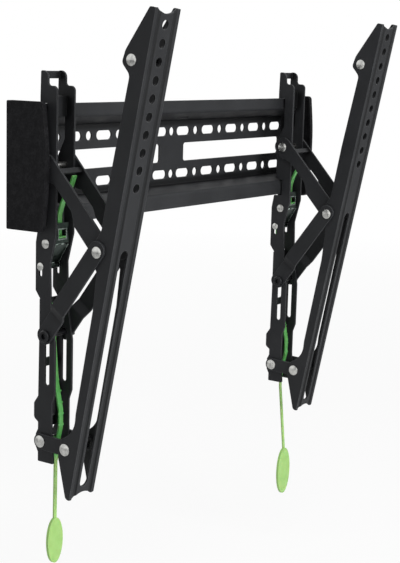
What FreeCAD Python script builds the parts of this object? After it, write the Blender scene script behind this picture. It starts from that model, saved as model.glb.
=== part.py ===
import FreeCAD
import Part
import math
import os

from FreeCAD import Vector

# Wall-side frame, millimetres: X along the plate, +Y into the wall, Z up.

# Sheet and fits
SHEET = 2.0
BEND = 2.0
RUN_FIT = 0.06
SIDE_GAP = 0.3
HEAD_GAP = 0.1

# Bracket stations on the plate
SPACING = 400.0
STATION_SHIFT = -21.5
STATION_LEFT = STATION_SHIFT - SPACING / 2
STATION_RIGHT = STATION_SHIFT + SPACING / 2

# Wall plate
END_LEFT = 23.5
END_RIGHT = 40.5
PLATE_LEFT = STATION_LEFT - END_LEFT
PLATE_RIGHT = STATION_RIGHT + END_RIGHT
PLATE_TUCK = 2.6
PANEL_HALF = 33.0
LIP_FRONT = -34.5
HOOK_GAP = 0.8
UPPER_LIP = (43.0, 55.4)
LOWER_LIP = (-37.0, -52.3)
ROW_Z = 22.0
SLOT_FIRST = 20.2
SLOT_END = 16.0
SLOT_PITCH = (PLATE_RIGHT - SLOT_END - SLOT_FIRST) / 4
SLOT_LONG = 23.6
HOLE_DIA = 9.0
ROUND_FIRST = SLOT_FIRST + SLOT_PITCH / 2
WINDOW_END = 8.2
WINDOW_X = (20.8, PLATE_RIGHT - WINDOW_END)
WINDOW_HALF = 9.5
SLIT_X = (-11.0, 10.0)

# End caps
CAP_HALF = 57.2
CAP_WIDE = 7.0
CAP_FRONT = -44.6
CAP_CORNER = -40.2
CAP_BOW = 14.0
CAP_WALL = 2.2
CAP_LEAN = 1.6
CAP_LAP = 5.5
CAP_LEFT_IN = PLATE_LEFT + CAP_LAP
CAP_RIGHT_IN = PLATE_RIGHT - CAP_LAP

# Nest of channels, half widths from the bracket centre
BRACKET_OUT = 12.7
BRACKET_IN = BRACKET_OUT - SHEET
ARM_IN = BRACKET_OUT + SIDE_GAP
ARM_OUT = ARM_IN + SHEET
RAIL_IN = ARM_OUT + SIDE_GAP + 0.1
RAIL_OUT = RAIL_IN + SHEET
STRUT_IN = RAIL_OUT + SIDE_GAP
STRUT_OUT = STRUT_IN + SHEET

# Pivots as (Y, Z)
PIVOT_A = (-37.2, 0.8)
PIVOT_K = (-100.2, -68.7)
PIVOT_P = (-64.5, -252.2)
PIVOT_B = (-32.8, -250.8)
PIVOT_S = (-38.6, -151.8)
GUIDE = (-36.1, -68.5)
SLIDER = (-30.1, -89.7)

# Pins: shank radius, head radius, head thickness
PIN_A = (3.2, 5.1, 1.9)
PIN_K = (3.2, 5.1, 2.0)
PIN_P = (2.5, 5.6, 2.0)
PIN_B = (2.2, 5.6, 2.0)
PIN_T = (3.0, 5.0, 1.9)
PIN_GUIDE = (2.4, 4.2, 1.5)
PIN_SLIDER = (1.7, 3.6, 1.4)
BOLT_R = 2.25
BOLT_HEAD = (5.5, 3.0)
NUT_FLATS = 10.0
NUT_THICK = 4.6

# Bracket flange outline
FLANGE_TOP = 84.0
SHOULDER_Z = 71.0
FOOT_Z = -270.6
FRONT_TOP = -47.9
FRONT_MID = -41.3
FRONT_LOW = -47.7
FRONT_FOOT = -44.4
BACK_TOP = -29.4
BACK_LIP = -29.0
BACK_MID = -24.4
BACK_LOW = -28.2
BACK_BUMP = -23.3
WEB_TOP = -119.5
WEB_HALF = 8.8
WEB_WINDOWS = ((-152.0, -174.6), (-182.4, -201.4), (-211.0, -231.0))
WEB_NOTCH = (3.9, -136.6)

# Bracket slots
LONG_SLOT = (5.3, -147.6, -198.0)
LATCH_TRAVEL = 7.0
SHORT_SLOT_R = PIN_SLIDER[0] + 0.15

# TV rail
RAIL_TILT = 11.2
RAIL_TOP = 213.5
RAIL_BOTTOM = -231.8
RAIL_DEPTH_K = 15.1
RAIL_T = (15.2, 167.2)
RAIL_HOLES = 10
RAIL_PITCH = 15.55
RAIL_FIRST = 13.7
RAIL_HOLE_DIA = 8.4
RAIL_SLOT = (11.0, 4.0, -221.6)
RAIL_CUT_R = 20.3
RAIL_CUT_RISE = 15.6
GROOVE_X = 11.0
GROOVE_WIDE = 6.0
GROOVE_DEEP = 1.1

# Strut and arm
ARM_DOWN = 9.0
ARM_NEAR_UP = 11.0
ARM_FAR_UP = 13.0
ARM_WAIST = (18.0, 48.0)
WAIST_NEAR = -2.8
WAIST_FAR = -1.0
HIP_FAR = (57.0, 72.0, -4.4)
ARM_BRIDGE = (11.4, 16.4)
STRUT_UP = 9.6
STRUT_DOWN = 6.9
STRUT_JOG = (71.5, 80.0)

# Link
LINK_R = 7.2
LINK_PLAY = 2.3
LINK_WEB = 24.5

# Latch and strap
LATCH_HALF = 9.2
LATCH_SHEET = 1.5
LATCH_FACE = -44.4
LATCH_TOP = -50.0
LATCH_BEND = -69.0
PAWL_TOP = -46.5
PAWL_GAP = (3.6, -84.0, -74.0)
EYE_HALF = 5.0
EYE_Z = (-64.0, -56.0)
BARREL_R = 3.3
STRAP_HALF = 2.75
STRAP_THICK = 1.6
STRAP_BEND = 6.0
STRAP_DRIFT = 5.0
DRIFT_Z = (-138.0, -160.0)
STEM_HALF = 1.9
TOOTH_PITCH = 10.4
TOOTH = 0.8
PADDLE_ASPECT = 0.238
PADDLE_THICK = 2.6
EYE_RUN = LATCH_FACE + LATCH_SHEET + 1.2
BARREL_RUN = SLIDER[0] + BARREL_R + SIDE_GAP
STRAP_RUN = PIVOT_S[0] + BOLT_R + 0.45
BELLY_RUN = -40.8
STEM_RUN = -35.2

# Strap tails as (Y, Z), then the lower end of the stem and the paddle's length
TAIL_LEFT = ((-58.7, -7.1), (-55.5, -15.5), (-45.7, -31.6), (EYE_RUN, -43.0))
HANG_LEFT = (-33.9, -332.0)
PADDLE_LEFT = 44.0
TAIL_RIGHT = ((-49.6, -24.6), (-44.6, -34.0), (EYE_RUN, -44.0))
HANG_RIGHT = (-42.4, -357.0)
PADDLE_RIGHT = 55.0


def minus(a, b):
    return (a[0] - b[0], a[1] - b[1])


def unit(a):
    size = math.hypot(a[0], a[1])
    return (a[0] / size, a[1] / size)


def edges_of(points, place):
    """Closed outline from (a, b, r) corners, each rounded by r."""
    count = len(points)
    corners = []
    for i in range(count):
        here = points[i]
        back = unit(minus(points[i - 1], here))
        ahead = unit(minus(points[(i + 1) % count], here))
        radius = here[2]
        if radius <= 0:
            corners.append((here[:2], None, here[:2]))
            continue
        dot = back[0] * ahead[0] + back[1] * ahead[1]
        half = math.acos(max(-1.0, min(1.0, dot))) / 2
        run = radius / math.tan(half)
        mid_dir = unit((back[0] + ahead[0], back[1] + ahead[1]))
        reach = radius / math.sin(half) - radius
        first = (here[0] + back[0] * run, here[1] + back[1] * run)
        last = (here[0] + ahead[0] * run, here[1] + ahead[1] * run)
        middle = (here[0] + mid_dir[0] * reach, here[1] + mid_dir[1] * reach)
        corners.append((first, middle, last))
    edges = []
    for i in range(count):
        first, middle, last = corners[i]
        if middle is not None:
            edges.append(Part.Arc(place(*first), place(*middle), place(*last)).toShape())
        following = corners[(i + 1) % count][0]
        if math.hypot(following[0] - last[0], following[1] - last[1]) > 1e-5:
            edges.append(Part.makeLine(place(*last), place(*following)))
    return edges


def prism(points, place, push):
    wire = Part.Wire(edges_of(points, place))
    return Part.Face(wire).extrude(push)


def slab(points, x0, x1):
    """Plate in the YZ plane from x0 to x1."""
    return prism(points, lambda a, b: Vector(x0, a, b), Vector(x1 - x0, 0, 0))


def both_sides(points, inner, outer):
    return slab(points, inner, outer).fuse(slab(points, -outer, -inner))


def block(x0, x1, y0, y1, z0, z1):
    return Part.makeBox(x1 - x0, y1 - y0, z1 - z0, Vector(x0, y0, z0))


def rod(spot, radius, x0, x1):
    return Part.makeCylinder(radius, x1 - x0, Vector(x0, spot[0], spot[1]), Vector(1, 0, 0))


def upright_slot(y, z_top, z_bottom, radius, reach):
    """Through slot along X with full round ends."""
    points = [
        (y - radius, z_top, radius),
        (y + radius, z_top, radius),
        (y + radius, z_bottom, radius),
        (y - radius, z_bottom, radius),
    ]
    return slab(points, -reach, reach)


def sheet_points(path, thick, radius):
    """Outline of a bent sheet: path is one face, thick goes to its left."""
    count = len(path)
    offset = []
    for i in range(count):
        normals = []
        if i > 0:
            d = unit(minus(path[i], path[i - 1]))
            normals.append((-d[1], d[0]))
        if i < count - 1:
            d = unit(minus(path[i + 1], path[i]))
            normals.append((-d[1], d[0]))
        if len(normals) == 1:
            shift = (normals[0][0] * thick, normals[0][1] * thick)
        else:
            total = (normals[0][0] + normals[1][0], normals[0][1] + normals[1][1])
            scale = thick * 2 / (total[0] ** 2 + total[1] ** 2)
            shift = (total[0] * scale, total[1] * scale)
        offset.append((path[i][0] + shift[0], path[i][1] + shift[1]))
    points = []
    for i in range(count):
        inside = 0 < i < count - 1
        points.append((path[i][0], path[i][1], corner_radius(path, i, thick, radius) if inside else 0))
    for i in reversed(range(count)):
        inside = 0 < i < count - 1
        other = corner_radius(path, i, thick, radius, True) if inside else 0
        points.append((offset[i][0], offset[i][1], other))
    return points


def corner_radius(path, i, thick, radius, far=False):
    a = unit(minus(path[i], path[i - 1]))
    b = unit(minus(path[i + 1], path[i]))
    left_turn = a[0] * b[1] - a[1] * b[0] > 0
    if left_turn == far:
        return radius
    return radius + thick


def rivet(spot, pin, reach):
    """Round pin with a shallow domed head beyond each end of its reach."""
    shank, head, thick = pin
    rim = 0.3 * thick
    rise = thick - rim
    ball = (head ** 2 + rise ** 2) / (2 * rise)
    body = rod(spot, shank, -reach - rim / 2, reach + rim / 2)
    pieces = []
    for side in (-1, 1):
        seat = Vector(side * reach, spot[0], spot[1])
        out = Vector(side, 0, 0)
        centre = Vector(side * (reach + thick - ball), spot[0], spot[1])
        blank = Part.makeCylinder(head, thick + 1, seat, out)
        pieces.append(blank.common(Part.makeSphere(ball, centre)))
    return body.fuse(pieces).removeSplitter()


def along(start, end, turn):
    """Map (u, w) on the line from start to end; turn picks the side of +w."""
    d = unit(minus(end, start))
    n = (-d[1] * turn, d[0] * turn)

    def place(u, w):
        return (start[0] + u * d[0] + w * n[0], start[1] + u * d[1] + w * n[1])

    return place


def wall_plate():
    path = [
        (LIP_FRONT, LOWER_LIP[1]),
        (LIP_FRONT, LOWER_LIP[0]),
        (-SHEET, -PANEL_HALF),
        (-SHEET, PANEL_HALF),
        (LIP_FRONT, UPPER_LIP[0]),
        (LIP_FRONT, UPPER_LIP[1]),
    ]
    points = sheet_points(path[::-1], SHEET, BEND * 0.6)
    plate = slab(points, PLATE_LEFT + PLATE_TUCK, PLATE_RIGHT - PLATE_TUCK)

    def flat(a, b):
        return Vector(a, -SHEET - 1, b)

    push = Vector(0, SHEET + 2, 0)
    cutters = []
    radius = HOLE_DIA / 2
    for side in (-1, 1):
        for row in (-ROW_Z, ROW_Z):
            for i in range(5):
                x = side * (SLOT_FIRST + SLOT_PITCH * i)
                corners = [
                    (x - SLOT_LONG / 2, row - radius, radius),
                    (x + SLOT_LONG / 2, row - radius, radius),
                    (x + SLOT_LONG / 2, row + radius, radius),
                    (x - SLOT_LONG / 2, row + radius, radius),
                ]
                cutters.append(prism(corners, flat, push))
            for i in range(4):
                x = side * (ROUND_FIRST + SLOT_PITCH * i)
                cutters.append(Part.makeCylinder(radius, SHEET + 2, flat(x, row), Vector(0, 1, 0)))
        low, high = sorted((side * WINDOW_X[0], side * WINDOW_X[1]))
        corners = [
            (low, -WINDOW_HALF, 3.0),
            (high, -WINDOW_HALF, 3.0),
            (high, WINDOW_HALF, 3.0),
            (low, WINDOW_HALF, 3.0),
        ]
        cutters.append(prism(corners, flat, push))
    for x in (0.0, -(ROUND_FIRST + SLOT_PITCH * 4)):
        for row in (-ROW_Z, ROW_Z):
            cutters.append(Part.makeCylinder(radius, SHEET + 2, flat(x, row), Vector(0, 1, 0)))
    cutters.append(block(SLIT_X[0], SLIT_X[1], -17.0, -13.0, PANEL_HALF - 2, UPPER_LIP[1] - 5))
    lip_clear = LIP_FRONT + 8.0
    left_end = CAP_LEFT_IN + SIDE_GAP
    right_end = CAP_RIGHT_IN - SIDE_GAP
    tall = 2 * CAP_HALF
    cutters.append(block(PLATE_LEFT - 1, left_end, LIP_FRONT - 1, lip_clear, -tall, tall))
    cutters.append(block(right_end, PLATE_RIGHT + 1, LIP_FRONT - 1, lip_clear, -tall, tall))
    return plate.cut(cutters)


def cap_solid(front, corner, half, wide, round_edge, side, x_in):
    side_view = [
        (0.0, half, 1.5),
        (corner, half, 4.0),
        (front, CAP_BOW, 16 * CAP_BOW),
        (front, -CAP_BOW, 16 * CAP_BOW),
        (corner, -half, 4.0),
        (0.0, -half, 1.5),
    ]
    x_out = x_in + side * wide
    low, high = sorted((x_in, x_out))
    body = slab(side_view, low, high)
    plan = [
        (x_in, 1.0, 0),
        (x_in, front - 1.0, 0),
        (x_out - side * CAP_LEAN, front - 1.0, round_edge),
        (x_out, 1.0, 0),
    ]
    column = prism(plan, lambda a, b: Vector(a, b, -half - 1), Vector(0, 0, 2 * half + 2))
    return body.common(column)


def end_cap(side, x_in):
    shell = cap_solid(CAP_FRONT, CAP_CORNER, CAP_HALF, CAP_WIDE, 4.2, side, x_in)
    hollow = cap_solid(
        CAP_FRONT + CAP_WALL,
        CAP_CORNER + CAP_WALL,
        CAP_HALF - CAP_WALL,
        CAP_WIDE - CAP_WALL,
        2.0,
        side,
        x_in,
    )
    return shell.cut(hollow)


def wall_bracket():
    hook_front = LIP_FRONT - 2.5
    hook_back = LIP_FRONT + SHEET + HOOK_GAP
    lip_top = UPPER_LIP[1] + SIDE_GAP
    profile = [
        (BACK_TOP, FLANGE_TOP, 1.5),
        (hook_back + 2.9, 62.0, 1.0),
        (hook_back + 2.9, 47.0, 0.8),
        (hook_back, 47.0, 0.8),
        (hook_back, lip_top, 0.6),
        (hook_front, lip_top, 0.6),
        (hook_front, 24.0, 5.0),
        (BACK_LIP, 8.0, 4.0),
        (BACK_LIP, LOWER_LIP[0] + 2.8, 1.5),
        (hook_front, LOWER_LIP[0] + 1.4, 0.8),
        (hook_front, LOWER_LIP[1] - 1.1, 0.8),
        (BACK_MID - 2.6, LOWER_LIP[1] - 1.7, 1.0),
        (BACK_MID, -68.0, 5.0),
        (BACK_MID, -111.5, 2.0),
        (BACK_LOW - 1.4, -118.5, 1.5),
        (BACK_LOW, -209.0, 2.0),
        (BACK_BUMP, -216.0, 3.5),
        (BACK_BUMP, -230.0, 3.5),
        (BACK_LOW, -233.5, 1.0),
        (BACK_LOW, -240.0, 1.5),
        (BACK_LOW + 2.6, -245.0, 2.0),
        (BACK_LOW + 2.6, -257.0, 2.0),
        (BACK_LOW, -262.0, 1.5),
        (BACK_LOW, FOOT_Z, 1.0),
        (FRONT_FOOT - 2.2, FOOT_Z, 1.2),
        (FRONT_FOOT, -239.0, 6.0),
        (FRONT_FOOT, -214.0, 3.0),
        (FRONT_LOW, -205.0, 3.0),
        (FRONT_LOW, -158.0, 6.0),
        (FRONT_MID - 1.2, -127.0, 8.0),
        (FRONT_MID, -86.0, 6.0),
        (FRONT_TOP, -60.0, 6.0),
        (FRONT_TOP, SHOULDER_Z, 4.5),
        (BACK_TOP - 8.3, SHOULDER_Z, 3.0),
        (BACK_TOP - 8.3, FLANGE_TOP, 6.0),
    ]
    body = both_sides(profile, BRACKET_IN, BRACKET_OUT)
    wide = BRACKET_OUT - 1
    top = block(-wide, wide, BACK_TOP - SHEET, BACK_TOP - 0.2, FLANGE_TOP - 7.0, FLANGE_TOP - 0.4)
    hook = block(-wide, wide, hook_front - SHEET, hook_front, 44.0, 62.0)
    web_back = BACK_LOW - 0.1
    rear = block(-wide, wide, web_back - SHEET, web_back, FOOT_Z + 0.6, WEB_TOP)

    def behind(a, b):
        return Vector(a, web_back - SHEET - 1, b)

    push = Vector(0, SHEET + 2, 0)
    openings = [block(-BRACKET_IN, BRACKET_IN, web_back - SHEET - 1, web_back + 1, -262.0, -240.0)]
    for high, low in WEB_WINDOWS:
        corners = [(-WEB_HALF, low, 2.0), (WEB_HALF, low, 2.0), (WEB_HALF, high, 2.0), (-WEB_HALF, high, 2.0)]
        openings.append(prism(corners, behind, push))
    half, deep = WEB_NOTCH
    corners = [(-half, deep, 2.0), (half, deep, 2.0), (half, WEB_TOP + 1, 0), (-half, WEB_TOP + 1, 0)]
    openings.append(prism(corners, behind, push))
    body = body.fuse([top, hook, rear.cut(openings)])
    slot, z_top, z_bottom = LONG_SLOT
    reach = BRACKET_OUT + 1
    cutters = [
        upright_slot(PIVOT_S[0], z_top, z_bottom, slot / 2, reach),
        upright_slot(
            SLIDER[0],
            SLIDER[1] + SHORT_SLOT_R,
            SLIDER[1] - LATCH_TRAVEL - SHORT_SLOT_R - 0.3,
            SHORT_SLOT_R,
            reach,
        ),
        rod(PIVOT_A, PIN_A[0] + RUN_FIT, -reach, reach),
        rod(PIVOT_B, PIN_B[0] + RUN_FIT, -reach, reach),
        rod(GUIDE, PIN_GUIDE[0] + RUN_FIT, -reach, reach),
    ]
    return body.cut(cutters).removeSplitter()


def upper_arm():
    place = along(PIVOT_A, PIVOT_K, -1)
    length = math.hypot(*minus(PIVOT_K, PIVOT_A))
    waist_near = [
        (ARM_WAIST[1] + 12.0, -ARM_DOWN, 3.0),
        (ARM_WAIST[1], WAIST_NEAR, 4.0),
        (ARM_WAIST[0], WAIST_NEAR, 6.0),
    ]
    waist_far = [
        (HIP_FAR[1] + 10.0, -ARM_DOWN, 4.0),
        (HIP_FAR[1], HIP_FAR[2], 4.0),
        (HIP_FAR[0], HIP_FAR[2], 3.0),
        (ARM_WAIST[1], WAIST_FAR, 4.0),
        (ARM_WAIST[0], WAIST_FAR, 6.0),
    ]
    flanges = []
    for up, waist, side in ((ARM_NEAR_UP, waist_near, -1), (ARM_FAR_UP, waist_far, 1)):
        flat = [
            (-10.0, -ARM_DOWN, 8.6),
            (-10.0, up, 9.6),
            (length + 10.0, up, 9.6),
            (length + 10.0, -ARM_DOWN, 8.6),
        ] + waist + [(ARM_WAIST[0] - 10.0, -ARM_DOWN, 4.0)]
        points = [place(u, w) + (r,) for u, w, r in flat]
        flanges.append(slab(points, side * ARM_IN, side * ARM_OUT))
    strip = [
        place(ARM_BRIDGE[0], ARM_NEAR_UP - SHEET) + (0,),
        place(ARM_BRIDGE[0], ARM_NEAR_UP) + (0,),
        place(ARM_BRIDGE[1], ARM_NEAR_UP) + (0,),
        place(ARM_BRIDGE[1], ARM_NEAR_UP - SHEET) + (0,),
    ]
    body = slab(strip, -ARM_IN - 1, ARM_IN + 1).fuse(flanges)
    reach = ARM_OUT + 1
    cutters = [
        rod(PIVOT_A, PIN_A[0] + RUN_FIT, -reach, reach),
        rod(PIVOT_K, PIN_K[0] + RUN_FIT, -reach, reach),
    ]
    return body.cut(cutters).removeSplitter()


def lower_arm(side):
    place = along(PIVOT_K, PIVOT_S, 1)
    reach = math.hypot(*minus(PIVOT_S, PIVOT_K))
    path = [
        (-12.0, STRUT_IN),
        (STRUT_JOG[0], STRUT_IN),
        (STRUT_JOG[1], ARM_IN),
        (reach + 12.0, ARM_IN),
    ]
    section = sheet_points(path, SHEET, BEND)
    low = place(0, -20.0)
    start = place(0, 0)

    def spot(u, x):
        y, z = place(u, -20.0)
        return Vector(x, y, z)

    push = Vector(0, (start[0] - low[0]) * 2, (start[1] - low[1]) * 2)
    bent = prism(section, spot, push)
    flat = [
        (-9.0, -STRUT_DOWN, 7.6),
        (-9.0, STRUT_UP, 7.6),
        (reach + 8.5, STRUT_UP, 7.6),
        (reach + 8.5, -STRUT_DOWN, 7.6),
    ]
    points = [place(u, w) + (r,) for u, w, r in flat]
    body = bent.common(slab(points, 5, 30))
    cutters = [
        rod(PIVOT_K, PIN_K[0] + RUN_FIT, 0, 30),
        rod(PIVOT_S, BOLT_R + RUN_FIT, 0, 30),
    ]
    body = body.cut(cutters)
    if side < 0:
        body = body.mirror(Vector(0, 0, 0), Vector(1, 0, 0))
    return body


def bottom_link():
    place = along(PIVOT_B, PIVOT_P, -1)
    reach = math.hypot(*minus(PIVOT_P, PIVOT_B))
    flat = [
        (-LINK_R, -LINK_R, LINK_R * 0.98),
        (-LINK_R, LINK_R, LINK_R * 0.98),
        (reach + LINK_R, LINK_R, LINK_R * 0.98),
        (reach + LINK_R, -LINK_R, LINK_R * 0.98),
    ]
    points = [place(u, w) + (r,) for u, w, r in flat]
    body = both_sides(points, ARM_IN, ARM_OUT)
    strip = [
        place(LINK_WEB, LINK_R - SHEET) + (0,),
        place(LINK_WEB, LINK_R) + (0,),
        place(reach - 2.0, LINK_R) + (0,),
        place(reach - 2.0, LINK_R - SHEET) + (0,),
    ]
    body = body.fuse(slab(strip, -ARM_OUT, ARM_OUT))
    cutters = [
        rod(PIVOT_B, PIN_B[0] + RUN_FIT, -20, 20),
        rod(PIVOT_P, PIN_P[0] + LINK_PLAY, -20, 20),
    ]
    return body.cut(cutters).removeSplitter()


def rail_spot(depth, v):
    """Rest position of a point on the rail given behind its front face."""
    y = depth - RAIL_DEPTH_K
    c = math.cos(math.radians(RAIL_TILT))
    s = math.sin(math.radians(RAIL_TILT))
    return (PIVOT_K[0] + c * y - s * v, PIVOT_K[1] + s * y + c * v)


def rail_depth(spot):
    c = math.cos(math.radians(RAIL_TILT))
    s = math.sin(math.radians(RAIL_TILT))
    y = spot[0] - PIVOT_K[0]
    z = spot[1] - PIVOT_K[1]
    return (c * y + s * z + RAIL_DEPTH_K, -s * y + c * z)


def tv_rail():
    p_depth, p_v = rail_depth(PIVOT_P)
    t_depth, t_v = RAIL_T
    profile = [
        (0.0, RAIL_TOP, 0.8),
        (6.0, RAIL_TOP, 2.0),
        (t_depth + 8.0, t_v + 6.8, 12.0),
        (t_depth + 9.6, t_v - 4.2, 5.0),
        (t_depth - 0.6, t_v - 12.4, 7.0),
        (16.2, 76.0, 20.0),
        (15.8, 20.0, 6.0),
        (RAIL_DEPTH_K + 4.8, 9.0, 5.0),
        (RAIL_DEPTH_K + 4.8, -9.0, 5.0),
        (13.3, -18.0, 5.0),
        (10.2, -52.0, 12.0),
        (9.3, -150.0, 20.0),
        (7.4, p_v + 20.0, 22.0),
        (p_depth + 6.2, p_v + 8.0, 5.0),
        (p_depth + 6.2, p_v - 9.0, 6.0),
        (4.5, RAIL_BOTTOM, 4.0),
        (0.0, RAIL_BOTTOM, 0.8),
    ]
    points = [(d - RAIL_DEPTH_K, v, r) for d, v, r in profile]
    body = both_sides(points, RAIL_IN, RAIL_OUT)
    front = -RAIL_DEPTH_K
    face = block(-RAIL_OUT + 1, RAIL_OUT - 1, front, front + SHEET, RAIL_BOTTOM, RAIL_TOP)
    body = body.fuse(face)
    cutters = []
    push = Vector(0, SHEET + 2, 0)
    for i in range(RAIL_HOLES):
        v = RAIL_TOP - RAIL_FIRST - RAIL_PITCH * i
        start = Vector(0, front - 1, v)
        cutters.append(Part.makeCylinder(RAIL_HOLE_DIA / 2, SHEET + 2, start, Vector(0, 1, 0)))
    half = RAIL_SLOT[0] / 2
    slot = [
        (-half, RAIL_SLOT[1], half),
        (half, RAIL_SLOT[1], half),
        (half, RAIL_SLOT[2], half),
        (-half, RAIL_SLOT[2], half),
    ]
    cutters.append(prism(slot, lambda a, b: Vector(a, front - 1, b), push))
    for v in (RAIL_TOP + RAIL_CUT_RISE, RAIL_BOTTOM - RAIL_CUT_RISE):
        start = Vector(0, front - 1, v)
        cutters.append(Part.makeCylinder(RAIL_CUT_R, SHEET + 2, start, Vector(0, 1, 0)))
    for side in (-1, 1):
        x = side * GROOVE_X
        groove = [
            (x - GROOVE_WIDE / 2, front - 0.01, 0),
            (x + GROOVE_WIDE / 2, front - 0.01, 0),
            (x + GROOVE_WIDE / 4, front + GROOVE_DEEP, 0),
            (x - GROOVE_WIDE / 4, front + GROOVE_DEEP, 0),
        ]
        low = RAIL_BOTTOM - 1
        tall = Vector(0, 0, RAIL_TOP - RAIL_BOTTOM + 2)
        cutters.append(prism(groove, lambda a, b: Vector(a, b, low), tall))
    cutters.append(rod((0, 0), PIN_K[0] + RUN_FIT, -20, 20))
    cutters.append(rod((t_depth - RAIL_DEPTH_K, t_v), PIN_T[0] + RUN_FIT, -20, 20))
    cutters.append(rod((p_depth - RAIL_DEPTH_K, p_v), PIN_P[0] + RUN_FIT, -20, 20))
    body = body.cut(cutters).removeSplitter()
    body.rotate(Vector(0, 0, 0), Vector(1, 0, 0), RAIL_TILT)
    body.translate(Vector(0, PIVOT_K[0], PIVOT_K[1]))
    return body


def slider_bolt():
    head_r, head_t = BOLT_HEAD
    seat = ARM_OUT + HEAD_GAP
    shank = rod(PIVOT_S, BOLT_R, -seat - NUT_THICK - 1.5, seat)
    head = rod(PIVOT_S, head_r, seat, seat + head_t)
    edges = [e for e in head.Edges if abs(e.BoundBox.XMin - seat - head_t) < 1e-6 and e.BoundBox.XLength < 1e-6]
    head = head.makeFillet(1.0, edges)
    socket = hexagon(PIVOT_S, 5.0, seat + head_t - 2.2, seat + head_t + 1)
    return shank.fuse(head).cut(socket).removeSplitter()


def hexagon(spot, flats, x0, x1):
    radius = flats / math.sqrt(3)
    points = []
    for i in range(6):
        a = math.radians(60 * i + 30)
        points.append((spot[0] + radius * math.cos(a), spot[1] + radius * math.sin(a), 0))
    return slab(points, x0, x1)


def slider_nut():
    seat = ARM_OUT + HEAD_GAP
    body = hexagon(PIVOT_S, NUT_FLATS, -seat - NUT_THICK, -seat)
    return body.cut(rod(PIVOT_S, BOLT_R + RUN_FIT, -30, 0))


def latch():
    back = LATCH_FACE + LATCH_SHEET
    path = [
        (LATCH_FACE, LATCH_TOP),
        (LATCH_FACE, LATCH_BEND),
        (SLIDER[0] - BARREL_R + 0.9, SLIDER[1] + 1.4),
    ]
    sheet = slab(sheet_points(path, LATCH_SHEET, 1.2), -LATCH_HALF, LATCH_HALF)
    barrel = rod(SLIDER, BARREL_R, -LATCH_HALF, LATCH_HALF)
    pawl_front = LIP_FRONT + SHEET + HOOK_GAP
    pawl = block(-LATCH_HALF, LATCH_HALF, pawl_front, pawl_front + 2.0, SLIDER[1], PAWL_TOP)
    half, low, high = PAWL_GAP
    cutters = [
        block(-EYE_HALF, EYE_HALF, LATCH_FACE - 1, back + 0.6, EYE_Z[0], EYE_Z[1]),
        block(-half, half, pawl_front - 1, pawl_front + 3.0, low, high),
        rod(SLIDER, PIN_SLIDER[0] + RUN_FIT, -LATCH_HALF - 1, LATCH_HALF + 1),
    ]
    return sheet.fuse([barrel, pawl]).cut(cutters).removeSplitter()


def return_spring():
    inner = PIN_GUIDE[0] + SIDE_GAP
    coil = rod(GUIDE, inner + 0.9, 5.2, BRACKET_IN - 0.2).cut(rod(GUIDE, inner, 0, 20))
    low = SLIDER[1] - PIN_SLIDER[0] - 0.2
    leg_y = GUIDE[0] + inner + 0.9
    path = [(SLIDER[0] + 2.0, low), (leg_y, low), (leg_y, GUIDE[1])]
    leg = slab(sheet_points(path, 0.8, 0.4), LATCH_HALF + 0.2, BRACKET_IN - 0.2)
    return coil.fuse(leg).removeSplitter()


def strap_sheet(path, half, x):
    return slab(sheet_points(path, STRAP_THICK, STRAP_BEND), x - half, x + half)


def pull_strap(tail, hang, paddle_long):
    upper = list(tail) + [
        (EYE_RUN, LATCH_BEND - 1.5),
        (BARREL_RUN, SLIDER[1] + 3.7),
        (BARREL_RUN, WEB_TOP + 3.5),
        (STRAP_RUN, WEB_NOTCH[1] + 2.6),
        (STRAP_RUN, DRIFT_Z[0] - 1.0),
    ]
    x = STRAP_DRIFT
    lower = [
        (STRAP_RUN, DRIFT_Z[1] + 1.0),
        (STRAP_RUN, LONG_SLOT[2]),
        (BELLY_RUN, -224.0),
        (BELLY_RUN, -240.0),
        (STEM_RUN, -264.0),
        (STEM_RUN, FOOT_Z - 3.0),
    ]
    drift = prism(
        [
            (-STRAP_HALF, DRIFT_Z[0], 0),
            (STRAP_HALF, DRIFT_Z[0], 0),
            (x + STRAP_HALF, DRIFT_Z[1], 0),
            (x - STRAP_HALF, DRIFT_Z[1], 0),
        ],
        lambda a, b: Vector(a, STRAP_RUN, b),
        Vector(0, STRAP_THICK, 0),
    )
    stem = [(STEM_RUN, FOOT_Z - 2.0), (STEM_RUN, FOOT_Z - 9.0), (hang[0] - STRAP_THICK / 2, hang[1])]
    oval = Part.Ellipse(Vector(0, 0, 0), paddle_long / 2, paddle_long * PADDLE_ASPECT).toShape()
    paddle = Part.Face(Part.Wire(oval)).extrude(Vector(0, 0, PADDLE_THICK))
    paddle.rotate(Vector(0, 0, 0), Vector(0, 1, 0), 90)
    paddle.rotate(Vector(0, 0, 0), Vector(0, 0, 1), 90)
    paddle.translate(Vector(x, hang[0] - PADDLE_THICK / 2, hang[1] + 3.0 - paddle_long / 2))
    lug = block(-EYE_HALF + 0.4, EYE_HALF - 0.4, LATCH_FACE - 0.3, EYE_RUN + 0.5, EYE_Z[0] + 0.3, EYE_Z[0] + 2.0)
    pieces = [strap_sheet(lower, STRAP_HALF, x), drift, strap_sheet(stem, STEM_HALF, x), paddle, lug]
    z = DRIFT_Z[1] - TOOTH_PITCH / 2
    while z > LONG_SLOT[2] + TOOTH:
        side = STRAP_HALF + TOOTH
        pieces.append(block(x - side, x + side, STRAP_RUN + 0.2, STRAP_RUN + STRAP_THICK, z - TOOTH, z + TOOTH))
        z -= TOOTH_PITCH
    return strap_sheet(upper, STRAP_HALF, 0.0).fuse(pieces).removeSplitter()


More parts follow.
